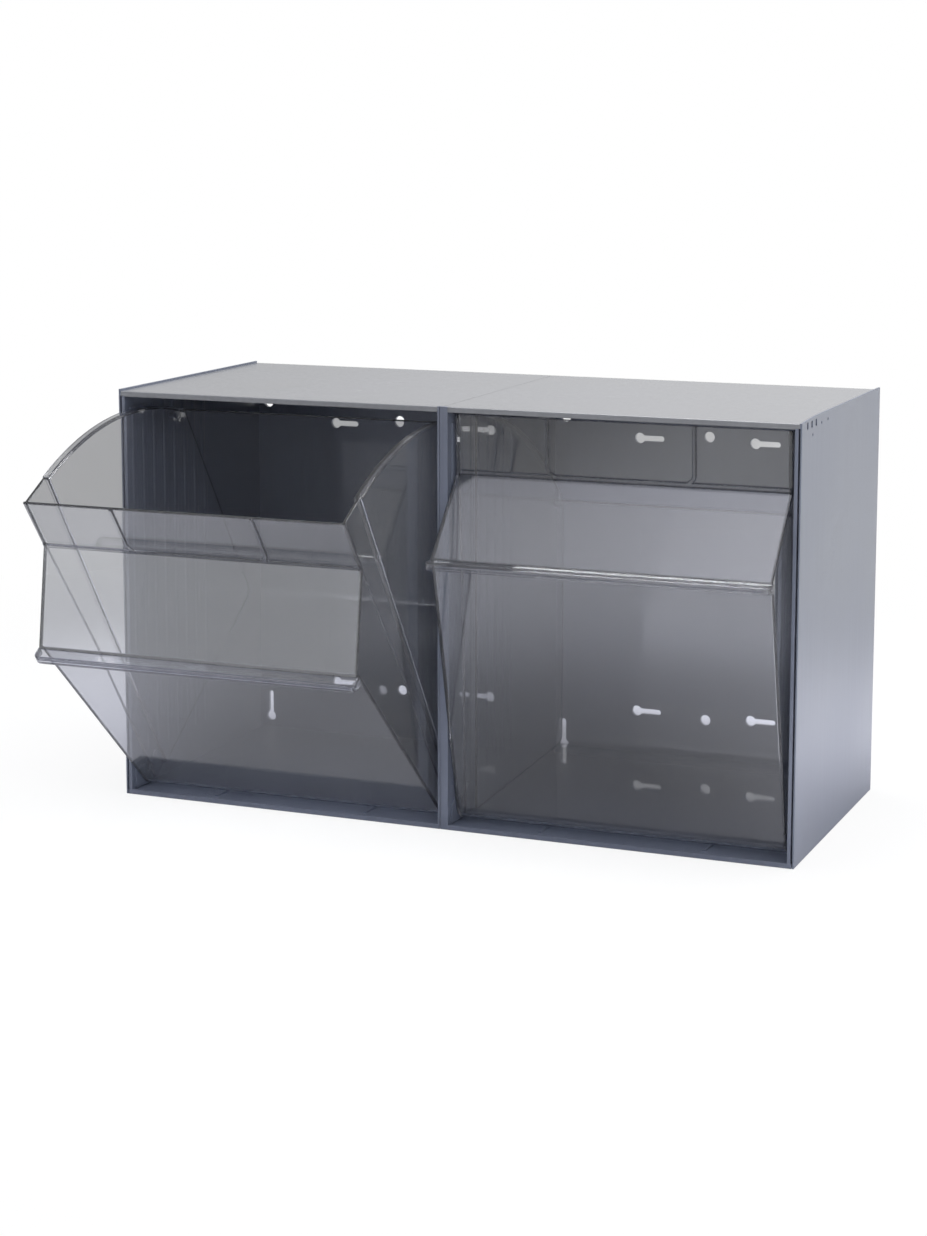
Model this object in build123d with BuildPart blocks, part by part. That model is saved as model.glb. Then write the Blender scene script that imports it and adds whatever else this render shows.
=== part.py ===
from build123d import *
import math
import os

# A two-bay cabinet with a clear tilting bin in each bay.
# Millimetres. X runs along the front, +Y to the back, +Z up.
# The origin is the centre of the cabinet's base.

# Cabinet
cabinet_width = 600.0
cabinet_depth = 259.0
cabinet_height = 356.0
lip_height = 1.8  # the end panels stand this far above the top sheets
skin = 1.8  # outer skin of an end panel, beside the sheets' edges
side_thickness = 5.5
divider_thickness = 9.0
sheet = 4.0  # top and floor sheets
back_thickness = 3.7
top_flange = 0.5  # front edge of the top sheet hangs this far below the sheet
front_edge = 4.0  # depth of the divider's face strip and of the top flange
front_chamfer = 0.6
seam_gap = 0.15  # half the gap between the two top sheets

# Bins
bin_width = 284.0
wall = 2.5
pivot_back = 27.6  # pivot axis behind the cabinet's front plane
pivot_height = 19.8
heel_radius = 14.7  # the front foot of the bin is round about the pivot
front_lean = 13.56  # degrees, lower front panel from the vertical
floor_rise = 2.6  # degrees, floor rises to the back
open_angle = 34.0
rim_front_radius = 325.0  # top edge of the bin's sides, from the pivot
rim_rear_radius = 316.0
strip_foot_back = 13.5  # label strip behind the cabinet's front plane, at its foot and top
strip_top_back = 10.8
strip_foot = 298.0
strip_top = 347.4
nose_reach = 42.0  # nose edge in front of the cabinet's front plane
nose_height = 235.5
nose_blunt = 5.0
rear_gap = 0.3  # the closed bin leans on the back wall
crease_step = 1.2  # the sides step inwards behind the nose's end faces
crease_foot = 1.0  # the crease starts this far behind the strip's foot
crease_back = 24.0  # and has its knee here, behind the front plane
crease_height = 167.0
step_back = 46.5  # and again behind this line
side_step = 4.5
side_play = 1.2  # the bins sit this far to the left in their bays
trunnion_radius = 4.7
trunnion_clearance = 0.05

# Derived places
half_width = cabinet_width / 2
half_depth = cabinet_depth / 2
front = -half_depth
top_face = cabinet_height - lip_height
sheet_under = top_face - sheet
bay_width = half_width - side_thickness - divider_thickness / 2
bay_centre = divider_thickness / 2 + bay_width / 2
bin_half = bin_width / 2
bay_half = bay_width / 2
pivot_y = front + pivot_back
pivot_axis = Axis((0, pivot_y, pivot_height), (1, 0, 0))

os.makedirs("parts", exist_ok=True)


def save(piece, label):
    piece.label = label
    export_step(piece, f"parts/{label}.step")


def around_pivot(radius, degrees):
    """Point at a radius from the pivot, turned back from straight up."""
    turn = math.radians(degrees)
    return (pivot_y + radius * math.sin(turn), pivot_height + radius * math.cos(turn))


# Pivot brackets: a cradle open at the top, let into the wall beside each trunnion
bracket_front = 6.0
bracket_back = 50.0
bracket_pocket = 2.8
bracket_proud = 1.5
cradle_front = 14.0  # these three, like the bracket's ends, lie behind the front plane
cradle_back = 34.0
cradle_top = 25.5
horn_front = 38.0
horn_back = 43.0
horn_top = 32.0


def bracket_outline():
    """Side view of a bracket, on a YZ sketch."""
    Polygon(
        (front + bracket_front, sheet),
        (front + bracket_front, pivot_height),
        (front + cradle_front, cradle_top),
        (front + cradle_back, cradle_top),
        (front + horn_front, horn_top),
        (front + horn_back, horn_top),
        (front + bracket_back, pivot_height),
        (front + bracket_back, sheet),
        align=None,
    )


# Stop pins: pressed into the walls, in the way of the nib on each side of a bin
pin_radius = 2.5
pin_depth = 3.0
pin_reach = 5.7
pin_orbit = 309.5
pin_turn = 9.26
pin_chamfer = 0.5
pin_place = around_pivot(pin_orbit, pin_turn)

# Flutes on the inner faces of the walls
flute_count = 8
flute_pitch = 18.5
flute_first = 12.0
flute_width = 8.0
flute_proud = 0.8
flute_slope = 22.0  # degrees, a flute's flanks
flute_foot = 36.0
flute_top = 340.0


def flutes(wall_x, facing):
    """Shallow vertical ribs that stand on a wall, towards +X or -X."""
    places = [(wall_x, front + flute_first + n * flute_pitch) for n in range(flute_count)]
    with BuildSketch(Plane.XY.offset(flute_foot)) as plan:
        with Locations(places):
            Trapezoid(
                flute_width,
                flute_proud,
                flute_slope,
                rotation=-90 * facing,
                align=(Align.CENTER, Align.MIN),
            )
    extrude(plan.sketch, amount=flute_top - flute_foot)


def wall_seats(wall_x, facing):
    """Pocket for a pivot bracket and hole for a stop pin in a wall's inner face."""
    with BuildSketch(Plane.YZ.offset(wall_x)) as pocket:
        bracket_outline()
    extrude(pocket.sketch, amount=-facing * bracket_pocket, mode=Mode.SUBTRACT)
    with BuildSketch(Plane.YZ.offset(wall_x)) as pin_hole:
        with Locations(pin_place):
            Circle(pin_radius)
    extrude(pin_hole.sketch, amount=-facing * pin_depth, mode=Mode.SUBTRACT)


# End panels
groove_inset = 1.2
groove_width = 1.5
groove_depth = 5.5
lip_rise = 45.0  # the right lip rises to its full height over this length
slot_places = (17.0, 30.0, 43.0)
slot_width = 4.0
slot_height = 5.6
slot_middle = top_face - 3.5
dimple_places = ((33.0, 342.0), (60.0, 348.6), (80.0, 349.4))
dimple_radius = 1.3
dimple_depth = 0.8

for hand, side in (("left", -1), ("right", 1)):
    outer = side * half_width
    inner = side * (half_width - side_thickness)
    with BuildPart() as side_panel:
        with BuildSketch(Plane.XZ.offset(half_depth)):
            with Locations((outer - side * skin / 2, 0)):
                Rectangle(skin, cabinet_height, align=(Align.CENTER, Align.MIN))
            with Locations(((outer - side * skin + inner) / 2, sheet)):
                Rectangle(
                    side_thickness - skin,
                    sheet_under - sheet,
                    align=(Align.CENTER, Align.MIN),
                )
        extrude(amount=-cabinet_depth)
        if side > 0:
            # this lip slopes down to the top sheet at the front
            with BuildSketch(Plane.YZ.offset(outer)):
                Polygon(
                    (front, cabinet_height),
                    (front, top_face),
                    (front + lip_rise, cabinet_height),
                    align=None,
                )
            extrude(amount=-skin, mode=Mode.SUBTRACT)
        # groove down the front edge, where a neighbouring unit keys in
        with BuildSketch(Plane.XZ.offset(half_depth)):
            with Locations((outer - side * (groove_inset + groove_width / 2), 0)):
                Rectangle(groove_width, sheet_under, align=(Align.CENTER, Align.MIN))
        extrude(amount=-groove_depth, mode=Mode.SUBTRACT)
        # slots for the top sheet's tabs, and mould dimples
        with BuildSketch(Plane.YZ.offset(outer)):
            with Locations([(front + y, slot_middle) for y in slot_places]):
                Rectangle(slot_width, slot_height)
        extrude(amount=-side * skin, mode=Mode.SUBTRACT)
        with BuildSketch(Plane.YZ.offset(outer)):
            with Locations([(front + y, z) for y, z in dimple_places]):
                Circle(dimple_radius)
        extrude(amount=-side * dimple_depth, mode=Mode.SUBTRACT)
        flutes(inner, -side)
        wall_seats(inner, -side)
    save(side_panel.part, f"side_panel_{hand}")

# Middle wall, with a face strip the full height of the front
face_groove = 0.8
face_groove_place = -2.4

with BuildPart() as divider_panel:
    with BuildSketch(Plane.XZ.offset(half_depth)):
        Rectangle(divider_thickness, sheet_under, align=(Align.CENTER, Align.MIN))
    extrude(amount=-cabinet_depth)
    with BuildSketch(Plane.XZ.offset(half_depth)):
        Rectangle(divider_thickness, top_face, align=(Align.CENTER, Align.MIN))
    extrude(amount=-front_edge)
    with BuildSketch(Plane.XZ.offset(half_depth)):
        with Locations((face_groove_place, 0)):
            Rectangle(face_groove, top_face, align=(Align.CENTER, Align.MIN))
    extrude(amount=-face_groove, mode=Mode.SUBTRACT)
    for side in (-1, 1):
        flutes(side * divider_thickness / 2, side)
        wall_seats(side * divider_thickness / 2, side)
save(divider_panel.part, "divider_panel")

# Top sheets
tab_reach = 1.0
tab_thickness = 2.0
tab_play = 0.2

for hand, side in (("left", -1), ("right", 1)):
    edge = half_width - skin
    with BuildPart() as top_panel:
        with BuildSketch(Plane.XY.offset(sheet_under)):
            with Locations((side * (edge + seam_gap) / 2, 0)):
                Rectangle(edge - seam_gap, cabinet_depth)
            # notch round the divider's face strip
            with Locations((side * divider_thickness / 4, front + front_edge / 2)):
                Rectangle(divider_thickness / 2, front_edge, mode=Mode.SUBTRACT)
        extrude(amount=sheet)
        # tabs that enter the end panel's slots
        with BuildSketch(Plane.XY.offset(sheet_under + (sheet - tab_thickness) / 2)):
            with Locations([(side * (edge + tab_reach / 2), front + y) for y in slot_places]):
                Rectangle(tab_reach, slot_width - 2 * tab_play)
        extrude(amount=tab_thickness)
        with BuildSketch(Plane.XY.offset(sheet_under)):
            with Locations((side * bay_centre, front + front_edge / 2)):
                Rectangle(bay_width, front_edge)
        extrude(amount=-top_flange)
        top_front = top_panel.edges().filter_by(Axis.X).filter_by_position(
            Axis.Z, top_face - 0.01, top_face + 0.01
        )
        chamfer(top_front.sort_by(Axis.Y)[0], front_chamfer)
    save(top_panel.part, f"top_panel_{hand}")

# Floor sheets, with a stepped sill and short ribs near the front
sill_steps = ((4.0, 20.0, 0.8), (20.0, 36.0, 1.4))
sill_rib_places = (-67.5, 73.5)
sill_rib_middle = 23.0
sill_rib_width = 3.0
sill_rib_length = 26.0
sill_rib_root = 2.0
sill_rib_proud = 0.5

for hand, side in (("left", -1), ("right", 1)):
    edge = half_width - skin
    inner = divider_thickness / 2
    with BuildPart() as floor_panel:
        with BuildSketch(Plane.XY):
            with Locations((side * (edge + inner) / 2, 0)):
                Rectangle(edge - inner, cabinet_depth)
        extrude(amount=sheet)
        for start, end, depth in sill_steps:
            with BuildSketch(Plane.XY.offset(sheet)):
                with Locations((side * bay_centre, front + (start + end) / 2)):
                    Rectangle(bay_width, end - start)
            extrude(amount=-depth, mode=Mode.SUBTRACT)
        with BuildSketch(Plane.XY.offset(sheet - sill_rib_root)):
            with Locations([(side * bay_centre + x, front + sill_rib_middle) for x in sill_rib_places]):
                Rectangle(sill_rib_width, sill_rib_length)
        extrude(amount=sill_rib_root + sill_rib_proud)
    save(floor_panel.part, f"floor_panel_{hand}")

# Back walls, with keyholes and round holes for fixing to a wall or rail
hole_rows = (53.0, 302.0)
keyhole_places = (-64.5, 42.0)
keyhole_run = 21.5
keyhole_radius = 4.75
keyhole_slot = 5.0
round_hole_radius = 4.75
round_hole_rows = (50.0, 306.0)
upright_place = -135.0
upright_rows = (15.0, 318.0)
upright_run = 22.0

for hand, side in (("left", -1), ("right", 1)):
    centre = side * bay_centre
    with BuildPart() as back_panel:
        with BuildSketch(Plane.XZ.offset(-half_depth)):
            with Locations((centre, (sheet + sheet_under) / 2)):
                Rectangle(bay_width, sheet_under - sheet)
            for z in hole_rows:
                with Locations([(centre + x, z) for x in keyhole_places]):
                    Circle(keyhole_radius, mode=Mode.SUBTRACT)
                with Locations([(centre + x + keyhole_run / 2, z) for x in keyhole_places]):
                    SlotCenterToCenter(keyhole_run - keyhole_slot / 2, keyhole_slot, mode=Mode.SUBTRACT)
            with Locations([(centre, z) for z in round_hole_rows]):
                Circle(round_hole_radius, mode=Mode.SUBTRACT)
            for z in upright_rows:
                with Locations((centre + upright_place, z)):
                    Circle(keyhole_radius, mode=Mode.SUBTRACT)
                with Locations((centre + upright_place, z + upright_run / 2)):
                    SlotCenterToCenter(upright_run, keyhole_slot, rotation=90, mode=Mode.SUBTRACT)
        extrude(amount=back_thickness)
    save(back_panel.part, f"back_panel_{hand}")

# Brackets and pins, one of each on either side of each bay
for bay, bay_side in (("left", -1), ("right", 1)):
    for place, facing in (("outer", -bay_side), ("inner", bay_side)):
        wall_x = bay_side * bay_centre - facing * bay_half
        with BuildPart() as pivot_bracket:
            with BuildSketch(Plane.YZ.offset(wall_x - facing * bracket_pocket)):
                bracket_outline()
                with Locations((pivot_y, pivot_height)):
                    Circle(trunnion_radius + trunnion_clearance, mode=Mode.SUBTRACT)
                    Rectangle(
                        2 * (trunnion_radius + trunnion_clearance),
                        cradle_top - pivot_height,
                        align=(Align.CENTER, Align.MIN),
                        mode=Mode.SUBTRACT,
                    )
            extrude(amount=facing * (bracket_pocket + bracket_proud))
        save(pivot_bracket.part, f"{bay}_bay_pivot_bracket_{place}")

        with BuildPart() as stop_pin:
            with BuildSketch(Plane.YZ.offset(wall_x - facing * pin_depth)):
                with Locations(pin_place):
                    Circle(pin_radius)
            extrude(amount=facing * (pin_depth + pin_reach))
            chamfer(stop_pin.faces().sort_by(Axis.X)[-1 if facing > 0 else 0].edges(), pin_chamfer)
        save(stop_pin.part, f"{bay}_bay_stop_pin_{place}")

# The clear bin, drawn closed and on the centre plane
lip_reach = 10.0  # finger lip in front of the nose
lip_drop = 7.2
lip_overhang = 1.5
lip_root = 1.0
lip_corner = 6.0
lip_groove = 0.8
lip_groove_depth = 0.5
label_width = 120.8
label_ridge = 3.0
label_corner = 7.0
ridge_root = 1.0
ridge_proud = 1.5
ridge_chamfer = 0.6
rail_height = 3.5
rail_inset = 1.0
edge_chamfer = 0.6  # the front's side edges and the strip's top edge
rim_chamfer = 0.5
lip_chamfer = 1.0
lip_foot_chamfer = 0.6
rim_thickness = 2.0
nib_gap = 0.3
nib_start = open_angle + pin_turn + math.degrees((pin_radius + nib_gap) / pin_orbit)
nib_width = 1.1
nib_depth = 12.0
nib_back = 0.2
trunnion_length = 4.2
trunnion_bore = 2.6
foot_corner = 10.0

lean = math.radians(front_lean)
rise = math.radians(floor_rise)
heel_front = (pivot_y - heel_radius * math.cos(lean), pivot_height - heel_radius * math.sin(lean))
heel_back = (pivot_y + heel_radius * math.sin(rise), pivot_height - heel_radius * math.cos(rise))
heel_low = (pivot_y - heel_radius * math.sin(lean), pivot_height - heel_radius * math.cos(lean))
nose_foot_z = nose_height - nose_blunt
nose_foot = (heel_front[0] - (nose_foot_z - heel_front[1]) * math.tan(lean), nose_foot_z)
rear_y = half_depth - back_thickness - rear_gap
rear_foot = (rear_y, heel_back[1] + (rear_y - heel_back[0]) * math.tan(rise))
rear_turn = math.degrees(math.asin((rear_y - pivot_y) / rim_rear_radius))
step_y = front + step_back
step_turn = math.degrees(math.asin((step_y - pivot_y) / rim_front_radius))
strip_foot_y = front + strip_foot_back
strip_top_y = front + strip_top_back
strip_rise = strip_top - strip_foot
lip_front = front - nose_reach - lip_reach
rear_half = bin_half - side_step
middle_half = bin_half - crease_step


def lip_plan():
    """Plan of the finger lip, round at its two front corners."""
    with Locations((0, lip_front)):
        Rectangle(bin_width + 2 * lip_overhang, lip_reach + lip_root, align=(Align.CENTER, Align.MIN))
    fillet(vertices().group_by(Axis.Y)[0], lip_corner)


def rim_point(turn, inset=0.0):
    """Point on the rim, whose radius shrinks evenly from the step to the rear."""
    share = (turn - step_turn) / (rear_turn - step_turn)
    radius = rim_front_radius + share * (rim_rear_radius - rim_front_radius)
    return around_pivot(radius - inset, turn)


def rim_arc(start, end, inset=0.0):
    """Stretch of the rim between two turns about the pivot."""
    return ThreePointArc(
        rim_point(start, inset),
        rim_point((start + end) / 2, inset),
        rim_point(end, inset),
    )


def rim_band(start, end, top, depth):
    """Side view of a band that follows the rim, on a YZ sketch."""
    with BuildLine() as band:
        far = rim_arc(start, end, top)
        near = rim_arc(start, end, depth)
        Line(far @ 0, near @ 0)
        Line(far @ 1, near @ 1)
    make_face(band.edges())


def bin_outline():
    """Side view of a bin from its strip round to its rear wall, run on past the rim."""
    run_on = 30
    blank_top = strip_top + run_on
    with BuildLine() as trace:
        Polyline(
            (rear_y, blank_top),
            (strip_top_y + run_on * (strip_top_y - strip_foot_y) / strip_rise, blank_top),
            (strip_foot_y, strip_foot),
            (front - nose_reach, nose_height),
            nose_foot,
            heel_front,
        )
        ThreePointArc(heel_front, heel_low, heel_back)
        Polyline(heel_back, rear_foot, (rear_y, blank_top))
    make_face(trace.edges())
    fillet(vertices().sort_by_distance(rear_foot)[0], foot_corner)


def behind_crease(mode=Mode.ADD):
    """Side view of all that lies behind the crease between nose and sides."""
    Polygon(
        (strip_top_y + wall, 2 * cabinet_height),
        (strip_top_y + wall, strip_top),
        (strip_foot_y + crease_foot, strip_foot),
        (front + crease_back, crease_height),
        (pivot_y, pivot_height),
        (pivot_y, -cabinet_height),
        (half_depth, -cabinet_height),
        (half_depth, 2 * cabinet_height),
        align=None,
        mode=mode,
    )


strip_face = Plane(
    origin=(0, strip_foot_y, strip_foot),
    x_dir=(1, 0, 0),
    z_dir=(0, -strip_rise, strip_top_y - strip_foot_y),
)

# Label frame on the strip, open at the top, and the rail along the strip's foot
with BuildPart() as label_frame:
    with BuildSketch(strip_face.offset(-ridge_root)):
        frame_height = 2 * strip_rise
        with Locations((0, strip_rise)):
            RectangleRounded(label_width + 2 * label_ridge, frame_height, label_corner + label_ridge)
            RectangleRounded(
                label_width, frame_height - 2 * rail_height, label_corner, mode=Mode.SUBTRACT
            )
            Rectangle(bin_width, frame_height, align=(Align.CENTER, Align.MIN), mode=Mode.SUBTRACT)
        Rectangle(bin_width - 2 * rail_inset, rail_height, align=(Align.CENTER, Align.MIN))
    extrude(amount=ridge_root + ridge_proud)
    crown = label_frame.faces().sort_by(Axis(strip_face.origin, strip_face.z_dir))[-1]
    chamfer(crown.edges(), ridge_chamfer)

with BuildPart() as clear_bin:
    with BuildSketch(Plane.YZ):
        bin_outline()
    extrude(amount=bin_half, both=True)
    # chamfered side edges, from the strip's top down to the heel
    cheeks = clear_bin.faces().filter_by(Axis.X).edges()
    chamfer([edge for edge in cheeks if edge.center().Y < pivot_y - heel_radius / 2], edge_chamfer)
    # everything above the rim: straight over the front part, an arc behind it
    with BuildSketch(Plane.YZ):
        with BuildLine():
            rim = rim_arc(step_turn, rear_turn)
            Polyline(
                rim @ 1,
                (half_depth, (rim @ 1).Y),
                (half_depth, 2 * cabinet_height),
                (front, 2 * cabinet_height),
                (front, strip_top),
                (strip_top_y, strip_top),
                rim @ 0,
            )
        make_face()
    extrude(amount=bin_half, both=True, mode=Mode.SUBTRACT)
    strip_crest = clear_bin.edges().filter_by_position(Axis.Z, strip_top - 0.01, strip_top + 0.01)
    chamfer(strip_crest.sort_by(Axis.Y)[0], edge_chamfer)
    # the sides step in at the crease, and again behind the front part
    for side in (-1, 1):
        with BuildSketch(Plane.YZ.offset(side * bin_half)):
            behind_crease()
        extrude(amount=-side * crease_step, mode=Mode.SUBTRACT)
        with BuildSketch(Plane.YZ.offset(side * bin_half)):
            with Locations((step_y, 0)):
                Rectangle(cabinet_depth, cabinet_height, align=(Align.MIN, Align.MIN))
        extrude(amount=-side * side_step, mode=Mode.SUBTRACT)
    # hollow, open at the top, with walls of one thickness
    with BuildSketch(Plane.YZ):
        bin_outline()
        offset(amount=-wall, kind=Kind.INTERSECTION, mode=Mode.REPLACE)
    extrude(amount=rear_half - wall, both=True, mode=Mode.SUBTRACT)
    with BuildSketch(Plane.YZ):
        bin_outline()
        offset(amount=-wall, kind=Kind.INTERSECTION, mode=Mode.REPLACE)
        with Locations((step_y - wall, 0)):
            Rectangle(
                cabinet_depth,
                4 * cabinet_height,
                align=(Align.MIN, Align.CENTER),
                mode=Mode.SUBTRACT,
            )
    extrude(amount=middle_half - wall, both=True, mode=Mode.SUBTRACT)
    with BuildSketch(Plane.YZ):
        bin_outline()
        offset(amount=-wall, kind=Kind.INTERSECTION, mode=Mode.REPLACE)
        behind_crease(Mode.SUBTRACT)
    extrude(amount=bin_half - wall, both=True, mode=Mode.SUBTRACT)

    for side in (-1, 1):
        # rolled rim along the top of the rear part, and the nib that meets the stop pin
        with BuildSketch(Plane.YZ.offset(side * (rear_half - wall))):
            rim_band(step_turn, rear_turn, 0, rim_thickness)
        extrude(amount=side * (side_step + wall))
        with BuildSketch(Plane.YZ.offset(side * (rear_half - wall / 2))):
            rim_band(nib_start, nib_start + nib_width, rim_thickness / 2, nib_depth)
        extrude(amount=side * (side_step + wall / 2 - nib_back))

        # hollow trunnion
        with BuildSketch(Plane.YZ.offset(side * (middle_half - wall / 2))):
            with Locations((pivot_y, pivot_height)):
                Circle(trunnion_radius)
        extrude(amount=side * (trunnion_length + crease_step + wall / 2))
        with BuildSketch(Plane.YZ.offset(side * (bin_half + trunnion_length))):
            with Locations((pivot_y, pivot_height)):
                Circle(trunnion_bore)
        extrude(amount=-side * trunnion_length, mode=Mode.SUBTRACT)

    # both edges of each rim band's top
    arcs = clear_bin.edges().filter_by(GeomType.CIRCLE)
    long_arcs = [arc for arc in arcs if arc.length > rim_rear_radius / 2]
    long_arcs.sort(key=lambda arc: arc.position_at(0.5).Z)
    chamfer(long_arcs[-4:], rim_chamfer)

    # finger lip: a ledge with a turned-down edge and two fine grooves
    with BuildSketch(Plane.XY.offset(nose_height)):
        lip_plan()
    extrude(amount=-wall)
    with BuildSketch(Plane.XY.offset(nose_height - lip_drop)):
        lip_plan()
        with Locations((0, lip_front + wall)):
            Rectangle(
                bin_width + 2 * lip_overhang - 2 * wall,
                lip_reach + lip_root,
                align=(Align.CENTER, Align.MIN),
                mode=Mode.SUBTRACT,
            )
    extrude(amount=lip_drop)
    for n in (1, 2):
        with BuildSketch(Plane.XY.offset(nose_height - n * lip_drop / 3 - lip_groove / 2)):
            lip_plan()
            with Locations((0, lip_front + lip_groove_depth)):
                Rectangle(
                    bin_width,
                    lip_reach + lip_root,
                    align=(Align.CENTER, Align.MIN),
                    mode=Mode.SUBTRACT,
                )
        extrude(amount=lip_groove, mode=Mode.SUBTRACT)
    lip_edges = clear_bin.edges().filter_by_position(Axis.Y, lip_front - 0.1, front - nose_reach - 0.5)
    for level, size in ((nose_height, lip_chamfer), (nose_height - lip_drop, lip_foot_chamfer)):
        outer = lip_edges.filter_by_position(Axis.Z, level - 0.01, level + 0.01)
        chamfer(outer.sort_by(Axis.Y)[0:3], size)

    add(label_frame.part)

for bay, bay_side, tilt in (("left", -1, open_angle), ("right", 1, 0.0)):
    placed = Pos(bay_side * bay_centre - side_play, 0, 0) * clear_bin.part
    save(placed.rotate(pivot_axis, tilt), f"bin_{bay}")
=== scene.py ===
import bpy
import bmesh
import math
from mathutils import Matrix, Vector

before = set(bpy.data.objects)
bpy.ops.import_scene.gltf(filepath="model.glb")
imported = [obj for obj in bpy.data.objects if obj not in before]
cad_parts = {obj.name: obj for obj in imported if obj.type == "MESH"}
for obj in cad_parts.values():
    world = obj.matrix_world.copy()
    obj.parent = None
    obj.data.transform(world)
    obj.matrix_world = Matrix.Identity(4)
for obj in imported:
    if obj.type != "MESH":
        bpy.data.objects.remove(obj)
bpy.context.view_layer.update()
print("frame loaded:", len(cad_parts), "nodes")

studio = bpy.context.scene
studio.view_settings.view_transform = "Standard"

# the camera stands to the right of the unit and a little above it;
# metres and radians, and the lens in millimetres
cameraView = {
    "location": (0.80742, -2.06156, 0.60267),
    "yaw": 0.38762,
    "pitch": 0.15174,
    "lens": 75.57,
    "shiftY": -0.1003,
    "clipEnd": 60.0,
}
cameraData = bpy.data.cameras.new("productCamera")
cameraData.lens = cameraView["lens"]
cameraData.shift_y = cameraView["shiftY"]
cameraData.clip_end = cameraView["clipEnd"]
camera = bpy.data.objects.new("productCamera", cameraData)
camera.location = cameraView["location"]
camera.rotation_euler = (math.pi / 2 - cameraView["pitch"], 0.0, cameraView["yaw"])
studio.collection.objects.link(camera)
studio.camera = camera
print("camera placed")


def addNode(tree, kind, **settings):
    made = tree.nodes.new(kind)
    for key, value in settings.items():
        setattr(made, key, value)
    return made


# another node's output is linked to the socket, and a plain value is set on it
def feed(tree, socket, value):
    if isinstance(value, bpy.types.NodeSocket):
        tree.links.new(value, socket)
    else:
        socket.default_value = value


def calculate(tree, operation, *values):
    made = addNode(tree, "ShaderNodeMath", operation=operation)
    for socket, value in zip(made.inputs, values):
        feed(tree, socket, value)
    return made.outputs[0]


def remap(tree, value, fromRange, toRange, smooth=False):
    made = addNode(tree, "ShaderNodeMapRange")
    made.interpolation_type = "SMOOTHSTEP" if smooth else "LINEAR"
    made.inputs["From Min"].default_value = fromRange[0]
    made.inputs["From Max"].default_value = fromRange[1]
    made.inputs["To Min"].default_value = toRange[0]
    made.inputs["To Max"].default_value = toRange[1]
    tree.links.new(value, made.inputs["Value"])
    return made.outputs["Result"]


def noise(tree, vector, scale, detail):
    made = addNode(tree, "ShaderNodeTexNoise")
    made.inputs["Detail"].default_value = detail
    tree.links.new(vector, made.inputs["Vector"])
    feed(tree, made.inputs["Scale"], scale)
    return made.outputs["Fac"]


def objectPlace(tree):
    return addNode(tree, "ShaderNodeTexCoord").outputs["Object"]


def axesOf(tree, vector):
    made = addNode(tree, "ShaderNodeSeparateXYZ")
    tree.links.new(vector, made.inputs[0])
    return made.outputs


def roundedNormal(tree, samples, radius):
    made = addNode(tree, "ShaderNodeBevel", samples=samples)
    feed(tree, made.inputs["Radius"], radius)
    return made.outputs["Normal"]


# 1 on a flat face, and less where the given normal turns away from it
def agreesWithFlat(tree, normal):
    made = addNode(tree, "ShaderNodeVectorMath", operation="DOT_PRODUCT")
    tree.links.new(normal, made.inputs[0])
    tree.links.new(addNode(tree, "ShaderNodeNewGeometry").outputs["Normal"], made.inputs[1])
    return made.outputs["Value"]


def opaque(colour):
    return (*colour, 1.0)


# a Mix node's colour sockets share their names with its number sockets, so they go by position
colourSockets = {"first": 6, "second": 7, "mixed": 2}


def mixColours(tree, factor, first, second):
    made = addNode(tree, "ShaderNodeMix", data_type="RGBA")
    tree.links.new(factor, made.inputs["Factor"])
    feed(tree, made.inputs[colourSockets["first"]], first)
    feed(tree, made.inputs[colourSockets["second"]], second)
    return made.outputs[colourSockets["mixed"]]


def mixShaders(tree, factor, first, second):
    made = addNode(tree, "ShaderNodeMixShader")
    for socket, value in zip(made.inputs, (factor, first, second)):
        tree.links.new(value, socket)
    return made.outputs["Shader"]


def newGroup(name, inputs, outputs):
    group = bpy.data.node_groups.new(name, "ShaderNodeTree")
    for socketName, socketType, value in inputs:
        socket = group.interface.new_socket(
            name=socketName, in_out="INPUT", socket_type=socketType
        )
        socket.default_value = value
    for socketName, socketType in outputs:
        group.interface.new_socket(name=socketName, in_out="OUTPUT", socket_type=socketType)
    return group, addNode(group, "NodeGroupInput"), addNode(group, "NodeGroupOutput")


# what every moulded finish has in common; the group's inputs take the rest
mouldedLook = {
    "bevelSamples": 6,
    "edgeTurn": (0.995, 0.75),
    "paintedEdgeShare": 0.6,
    "noiseRange": (0.3, 0.7),
    "flowScale": 6.0,
    "flowDetail": 3.0,
    "flowShade": (0.95, 1.05),
    "flowGloss": (-0.06, 0.06),
    "streakStretch": (1.0, 1.0, 0.04),
    "streakScale": 260.0,
    "streakDetail": 2.0,
    "streakShade": (0.96, 1.04),
    "grainDetail": 2.0,
    "grainGloss": (-0.05, 0.05),
    "grainDistance": 0.0002,
}


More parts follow.
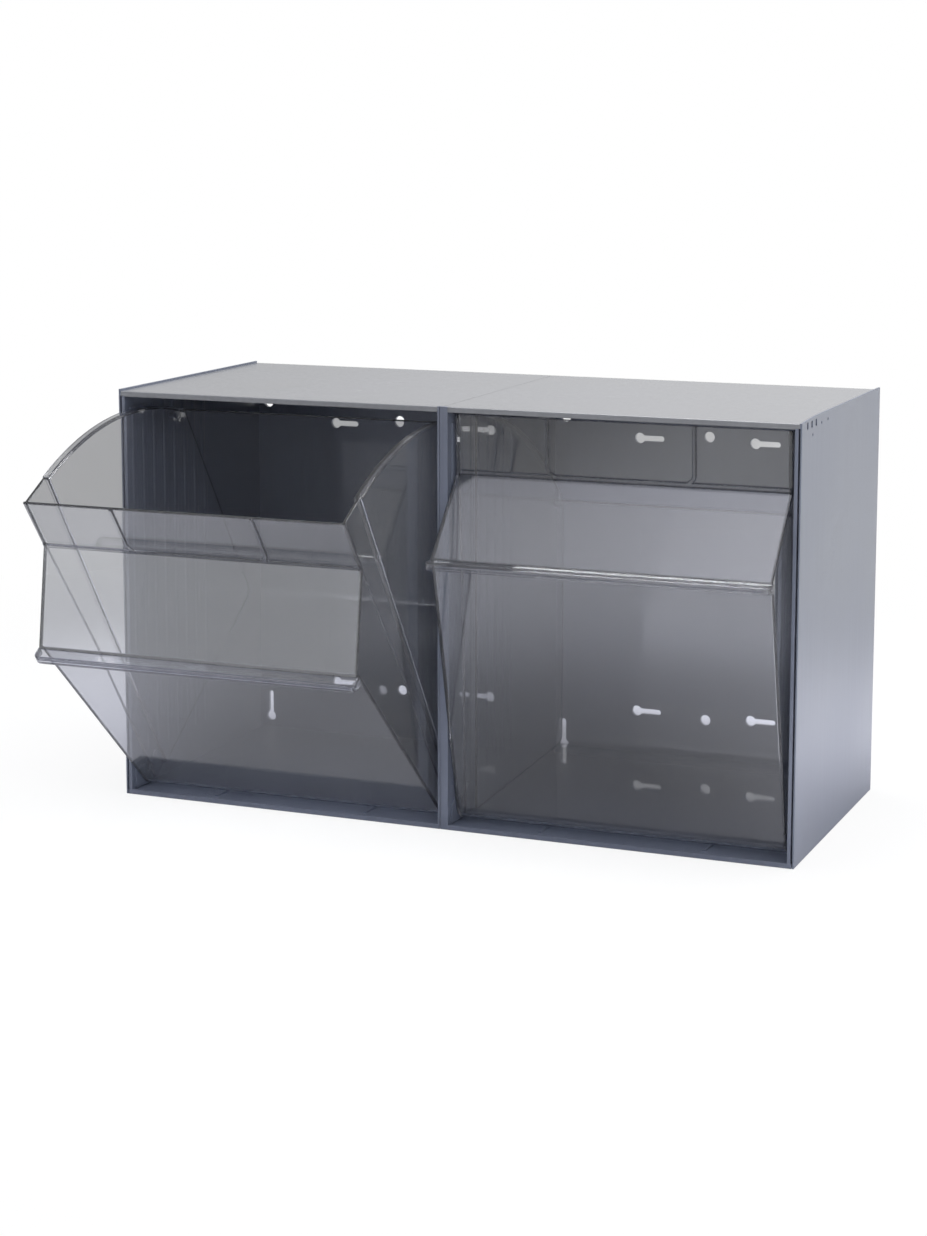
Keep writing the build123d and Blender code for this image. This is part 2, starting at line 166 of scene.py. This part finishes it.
def buildMouldedSurface(look):
    group, start, end = newGroup(
        "mouldedSurface",
        [
            ("Base", "NodeSocketColor", (0.2, 0.2, 0.2, 1.0)),
            ("Painted Edge", "NodeSocketColor", (0.3, 0.3, 0.3, 1.0)),
            ("Roughness", "NodeSocketFloat", 0.4),
            ("Grain Scale", "NodeSocketFloat", 1000.0),
            ("Grain Depth", "NodeSocketFloat", 0.1),
            ("Edge Radius", "NodeSocketFloat", 0.0006),
        ],
        [
            ("Color", "NodeSocketColor"),
            ("Roughness", "NodeSocketFloat"),
            ("Normal", "NodeSocketVector"),
        ],
    )
    links = group.links
    place = objectPlace(group)

    # painted edge colour where the rounded normal leaves the flat one: a painted highlight on
    # the slate, and darker edges on the top
    rounded = roundedNormal(group, look["bevelSamples"], start.outputs["Edge Radius"])
    flatness = agreesWithFlat(group, rounded)
    paintedEdgeMask = remap(group, flatness, look["edgeTurn"], (0.0, look["paintedEdgeShare"]))

    # slow shade changes and fine upright streaks left by the flow of the plastic
    flow = noise(group, place, look["flowScale"], look["flowDetail"])
    drawn = addNode(group, "ShaderNodeMapping")
    drawn.inputs["Scale"].default_value = look["streakStretch"]
    links.new(place, drawn.inputs["Vector"])
    streaks = noise(group, drawn.outputs["Vector"], look["streakScale"], look["streakDetail"])
    flowShade = remap(group, flow, look["noiseRange"], look["flowShade"])
    streakShade = remap(group, streaks, look["noiseRange"], look["streakShade"])
    shaded = addNode(group, "ShaderNodeVectorMath", operation="SCALE")
    links.new(start.outputs["Base"], shaded.inputs[0])
    links.new(calculate(group, "MULTIPLY", flowShade, streakShade), shaded.inputs["Scale"])
    # along the edges the base gives way to the edge colour, a painted highlight on the slate
    colour = mixColours(group, paintedEdgeMask, shaded.outputs["Vector"], start.outputs["Painted Edge"])
    links.new(colour, end.inputs["Color"])

    # fine grain of the mould, which also breaks up the gloss
    grain = noise(group, place, start.outputs["Grain Scale"], look["grainDetail"])
    flowGloss = remap(group, flow, (0.0, 1.0), look["flowGloss"])
    grainGloss = remap(group, grain, (0.0, 1.0), look["grainGloss"])
    rougher = calculate(group, "ADD", flowGloss, grainGloss)
    roughness = calculate(group, "ADD", start.outputs["Roughness"], rougher)
    links.new(roughness, end.inputs["Roughness"])
    bump = addNode(group, "ShaderNodeBump")
    bump.inputs["Distance"].default_value = look["grainDistance"]
    links.new(start.outputs["Grain Depth"], bump.inputs["Strength"])
    links.new(grain, bump.inputs["Height"])
    links.new(rounded, bump.inputs["Normal"])
    links.new(bump.outputs["Normal"], end.inputs["Normal"])
    return group


mouldedSurface = buildMouldedSurface(mouldedLook)


def newMaterial(name):
    material = bpy.data.materials.new(name)
    material.use_nodes = True
    return material, material.node_tree


def mouldedPlastic(name, finish):
    material, tree = newMaterial(name)
    shader = tree.nodes["Principled BSDF"]
    shader.inputs["IOR"].default_value = finish["ior"]
    surface = addNode(tree, "ShaderNodeGroup", node_tree=mouldedSurface)
    surface.inputs["Base"].default_value = opaque(finish["base"])
    # the edge colour: a painted highlight on the slate, darker on the top
    surface.inputs["Painted Edge"].default_value = opaque(finish["paintedEdge"])
    surface.inputs["Roughness"].default_value = finish["roughness"]
    surface.inputs["Grain Scale"].default_value = finish["grainScale"]
    surface.inputs["Grain Depth"].default_value = finish["grainDepth"]
    surface.inputs["Edge Radius"].default_value = finish["edgeRadius"]
    tree.links.new(surface.outputs["Color"], shader.inputs["Base Color"])
    tree.links.new(surface.outputs["Roughness"], shader.inputs["Roughness"])
    tree.links.new(surface.outputs["Normal"], shader.inputs["Normal"])
    return material


# satin slate grey of the walls, floors, backs, brackets and pins, with a paler painted
# highlight along the edges
slateFinish = {
    "base": (0.148, 0.165, 0.216),
    "paintedEdge": (0.25, 0.27, 0.32),
    "roughness": 0.30,
    "ior": 1.53,
    "grainScale": 1600.0,
    "grainDepth": 0.004,
    "edgeRadius": 0.0006,
}
slatePlastic = mouldedPlastic("slatePlastic", slateFinish)

# finely textured sheets on the top, darker along their edges and the seam
topFinish = {
    "base": (0.220, 0.224, 0.235),
    "paintedEdge": (0.10, 0.103, 0.112),
    "roughness": 0.24,
    "ior": 1.55,
    "grainScale": 1800.0,
    "grainDepth": 0.01,
    "edgeRadius": 0.0008,
}
topPlastic = mouldedPlastic("topPlastic", topFinish)

# clear polystyrene of the bins, faintly hazy and smeared by handling
clearFinish = {
    "tint": (0.82, 0.825, 0.84),
    "slant": (0.55, 1.0),
    "slantAbsorptionAndShade": (0.45, 0.47, 0.54),
    "bevelSamples": 4,
    "edgeRadius": 0.0011,
    "edgeTurn": (0.998, 0.95),
    "paintedEdgeShade": (0.05, 0.055, 0.10),
    "haze": 0.026,
    "ior": 1.57,
    "smearScale": 5.0,
    "smearDetail": 1.0,
    "smearRange": (0.3, 0.7),
    "smearGloss": (0.006, 0.022),
    "shadowTint": (0.84, 0.85, 0.86),
}


def clearPlastic(name, finish):
    material, tree = newMaterial(name)
    shader = tree.nodes["Principled BSDF"]
    shader.inputs["Transmission Weight"].default_value = 1.0 - finish["haze"]
    shader.inputs["IOR"].default_value = finish["ior"]

    # a wall seen along its length is darker than one seen from the front, partly for the longer
    # path through the plastic and partly as painted shade for the dark surroundings its edges
    # show
    facing = addNode(tree, "ShaderNodeLayerWeight").outputs["Facing"]
    slanted = remap(tree, facing, finish["slant"], (0.0, 1.0))
    body = mixColours(tree, slanted, opaque(finish["tint"]), opaque(finish["slantAbsorptionAndShade"]))

    # rounded edges bend the light away and look dark, and a painted shade darkens their colour
    # as well
    rounded = roundedNormal(tree, finish["bevelSamples"], finish["edgeRadius"])
    tree.links.new(rounded, shader.inputs["Normal"])
    paintedShadeMask = remap(tree, agreesWithFlat(tree, rounded), finish["edgeTurn"], (0.0, 1.0))
    colour = mixColours(tree, paintedShadeMask, body, opaque(finish["paintedEdgeShade"]))
    tree.links.new(colour, shader.inputs["Base Color"])

    # smears leave the gloss uneven
    smears = noise(tree, objectPlace(tree), finish["smearScale"], finish["smearDetail"])
    polish = remap(tree, smears, finish["smearRange"], finish["smearGloss"])
    tree.links.new(polish, shader.inputs["Roughness"])

    # lamps shine through the walls
    through = addNode(tree, "ShaderNodeBsdfTransparent")
    through.inputs["Color"].default_value = opaque(finish["shadowTint"])
    shadow = addNode(tree, "ShaderNodeLightPath").outputs["Is Shadow Ray"]
    surface = mixShaders(tree, shadow, shader.outputs["BSDF"], through.outputs["BSDF"])
    tree.links.new(surface, tree.nodes["Material Output"].inputs["Surface"])
    return material


clearBinPlastic = clearPlastic("clearBinPlastic", clearFinish)

for nodeName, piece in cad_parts.items():
    if nodeName.startswith("bin_"):
        finish = clearBinPlastic
    elif nodeName.startswith("top_panel_"):
        finish = topPlastic
    else:
        finish = slatePlastic
    if not piece.material_slots:
        piece.data.materials.append(finish)
    for slot in piece.material_slots:
        slot.material = finish
print("finishes assigned")


# a level plane of the studio, made one metre square and then scaled to its size
def stagePlane(name, size, material):
    shape = bmesh.new()
    bmesh.ops.create_grid(shape, x_segments=1, y_segments=1, size=0.5)
    bmesh.ops.scale(shape, vec=(*size, 1.0), verts=shape.verts)
    mesh = bpy.data.meshes.new(name)
    shape.to_mesh(mesh)
    shape.free()
    mesh.materials.append(material)
    plane = bpy.data.objects.new(name, mesh)
    studio.collection.objects.link(plane)
    return plane


# 1 for a ray of any of the given kinds, and 0 for every other ray
def seenBy(tree, *rays):
    path = addNode(tree, "ShaderNodeLightPath")
    seen = path.outputs[rays[0]]
    for ray in rays[1:]:
        seen = calculate(tree, "MAXIMUM", seen, path.outputs[ray])
    return seen


# pale floor: white to the camera away from the unit, with the unit's shadow near it; to gloss
# and clear plastic it shows a painted shadow beside the unit, painted shade to the left and a
# painted pool of light further out that fades again beyond
floorLook = {
    "size": (12.0, 12.0),
    "drop": 0.0008,
    "colour": (0.92, 0.925, 0.935),
    "roughness": 0.9,
    "fade": (0.40, 1.2),
    "shadowShare": 0.14,
    "left": (-0.50, -0.12),
    "leftShare": 0.48,
    "near": (0.22, 0.50),
    "nearStrength": 0.34,
    "farStrength": 1.90,
    "ring": (0.55, 0.95),
    "ringShare": 0.58,
    "nearColour": (0.88, 0.89, 1.0),
    "farColour": (1.0, 1.0, 1.0),
}


def buildFloor(look):
    material, tree = newMaterial("studioFloor")
    shader = tree.nodes["Principled BSDF"]
    shader.inputs["Base Color"].default_value = opaque(look["colour"])
    shader.inputs["Roughness"].default_value = look["roughness"]
    shader.inputs["Specular IOR Level"].default_value = 0.0
    place = objectPlace(tree)
    length = addNode(tree, "ShaderNodeVectorMath", operation="LENGTH")
    tree.links.new(place, length.inputs[0])
    away = length.outputs["Value"]

    # how bright the glow is: full to the camera, and by place to gloss and clear plastic, which
    # see a painted shadow near the unit, painted shade to the left and a painted pool of light
    # around it
    toCamera = seenBy(tree, "Is Camera Ray")
    across = axesOf(tree, place)["X"]
    paintedLeftShade = remap(tree, across, look["left"], (look["leftShare"], 1.0), smooth=True)
    nearToFar = (look["nearStrength"], look["farStrength"])
    paintedShadowAndPool = remap(tree, away, look["near"], nearToFar, smooth=True)
    beyond = remap(tree, away, look["ring"], (1.0, look["ringShare"]), smooth=True)
    mirrored = calculate(tree, "MULTIPLY", calculate(tree, "MULTIPLY", paintedLeftShade, paintedShadowAndPool), beyond)
    strength = addNode(tree, "ShaderNodeMix")
    tree.links.new(toCamera, strength.inputs["Factor"])
    tree.links.new(mirrored, strength.inputs["A"])
    strength.inputs["B"].default_value = 1.0
    glow = addNode(tree, "ShaderNodeEmission")
    tree.links.new(strength.outputs["Result"], glow.inputs["Strength"])

    # a painted bluish tint in what gloss and clear plastic see near the unit, which the camera
    # never sees
    far = remap(tree, away, look["fade"], (0.0, 1.0))
    plain = calculate(tree, "MAXIMUM", toCamera, far)
    colour = mixColours(tree, plain, opaque(look["nearColour"]), opaque(look["farColour"]))
    tree.links.new(colour, glow.inputs["Color"])

    # near the unit a share of the lit floor is left, so that the shadow shows
    seen = seenBy(tree, "Is Camera Ray", "Is Glossy Ray", "Is Transmission Ray")
    white = remap(tree, away, look["fade"], (1.0 - look["shadowShare"], 1.0), smooth=True)
    glowing = calculate(tree, "MULTIPLY", seen, white)
    surface = mixShaders(tree, glowing, shader.outputs["BSDF"], glow.outputs["Emission"])
    tree.links.new(surface, tree.nodes["Material Output"].inputs["Surface"])
    floor = stagePlane("studioFloor", look["size"], material)
    floor.location.z = -look["drop"]


buildFloor(floorLook)

# the room is white to the camera and lights the unit only faintly;
# gloss and clear plastic show that it is dimmer overhead and to the left
roomLook = {
    "light": (0.91, 0.94, 1.0),
    "strength": 0.16,
    "white": 1.0,
    "dim": (0.30, 0.60),
    "overhead": 0.10,
    "left": (-0.15, -0.55),
    "leftWhite": 0.68,
}


def buildRoom(look):
    world = bpy.data.worlds.new("studioRoom")
    studio.world = world
    world.use_nodes = True
    tree = world.node_tree
    lighting = tree.nodes["Background"]
    lighting.inputs["Color"].default_value = opaque(look["light"])
    lighting.inputs["Strength"].default_value = look["strength"]
    mirrored = addNode(tree, "ShaderNodeBackground")
    direction = axesOf(tree, addNode(tree, "ShaderNodeTexCoord").outputs["Generated"])
    whiteToOverhead = (look["white"], look["overhead"])
    height = remap(tree, direction["Z"], look["dim"], whiteToOverhead, smooth=True)
    whiteToLeft = (look["white"], look["leftWhite"])
    side = remap(tree, direction["X"], look["left"], whiteToLeft, smooth=True)
    tree.links.new(calculate(tree, "MULTIPLY", height, side), mirrored.inputs["Strength"])
    white = addNode(tree, "ShaderNodeBackground")
    white.inputs["Color"].default_value = (1.0, 1.0, 1.0, 1.0)
    white.inputs["Strength"].default_value = look["white"]
    toGloss = seenBy(tree, "Is Glossy Ray", "Is Transmission Ray")
    unseen = mixShaders(
        tree, toGloss, lighting.outputs["Background"], mirrored.outputs["Background"]
    )
    toCamera = seenBy(tree, "Is Camera Ray")
    surface = mixShaders(tree, toCamera, unseen, white.outputs["Background"])
    tree.links.new(surface, tree.nodes["World Output"].inputs["Surface"])


buildRoom(roomLook)

softboxes = {
    "keySoftbox": {
        "place": (1.6, -0.4, 2.2),
        "target": (0.1, 0.0, 0.2),
        "size": (1.6, 1.6),
        "watts": 4.8,
        "colour": (1.0, 0.99, 0.98),
    },
    "topSoftbox": {
        "place": (0.20, 0.12, 1.9),
        "target": (0.20, 0.12, 0.0),
        "size": (1.5, 0.9),
        "watts": 42.0,
        "colour": (0.99, 0.99, 1.0),
    },
    "frontLeftSoftbox": {
        "place": (-1.7, -2.9, 0.6),
        "target": (0.0, 0.0, 0.2),
        "size": (1.4, 1.2),
        "watts": 8.4,
        "colour": (0.92, 0.94, 1.0),
    },
    "frontRightSoftbox": {
        "place": (1.7, -1.9, 1.3),
        "target": (0.1, -0.1, 0.15),
        "size": (1.6, 1.6),
        "watts": 14.0,
        "colour": (0.92, 0.94, 1.0),
    },
    "sideSoftbox": {
        "place": (2.6, -0.2, 0.8),
        "target": (0.2, 0.0, 0.2),
        "size": (1.2, 1.6),
        "watts": 7.6,
        "colour": (0.99, 0.99, 1.0),
    },
}
for name, look in softboxes.items():
    lampData = bpy.data.lights.new(name, "AREA")
    lampData.shape = "RECTANGLE"
    lampData.size, lampData.size_y = look["size"]
    lampData.energy = look["watts"]
    lampData.color = look["colour"]
    lamp = bpy.data.objects.new(name, lampData)
    lamp.location = look["place"]
    backwards = Vector(look["place"]) - Vector(look["target"])
    lamp.rotation_euler = backwards.to_track_quat("Z", "Y").to_euler()
    lamp.visible_camera = False
    studio.collection.objects.link(lamp)

# a glowing plane overhead that is brighter to the right, mirrored in the sloping fronts
overheadLook = {
    "place": (-0.55, -0.75, 2.0),
    "size": (1.3, 0.9),
    "leftGlow": 0.1,
    "rightGlow": 3.9,
    "colour": (0.89, 0.90, 1.0),
}


def buildOverhead(look):
    material, tree = newMaterial("overheadSoftbox")
    across = axesOf(tree, objectPlace(tree))["X"]
    half = look["size"][0] / 2
    brightness = remap(tree, across, (-half, half), (look["leftGlow"], look["rightGlow"]))
    glow = addNode(tree, "ShaderNodeEmission")
    glow.inputs["Color"].default_value = opaque(look["colour"])
    tree.links.new(brightness, glow.inputs["Strength"])
    tree.links.new(glow.outputs["Emission"], tree.nodes["Material Output"].inputs["Surface"])
    overhead = stagePlane("overheadSoftbox", look["size"], material)
    overhead.location = look["place"]
    overhead.visible_camera = False


buildOverhead(overheadLook)
print("studio lit")
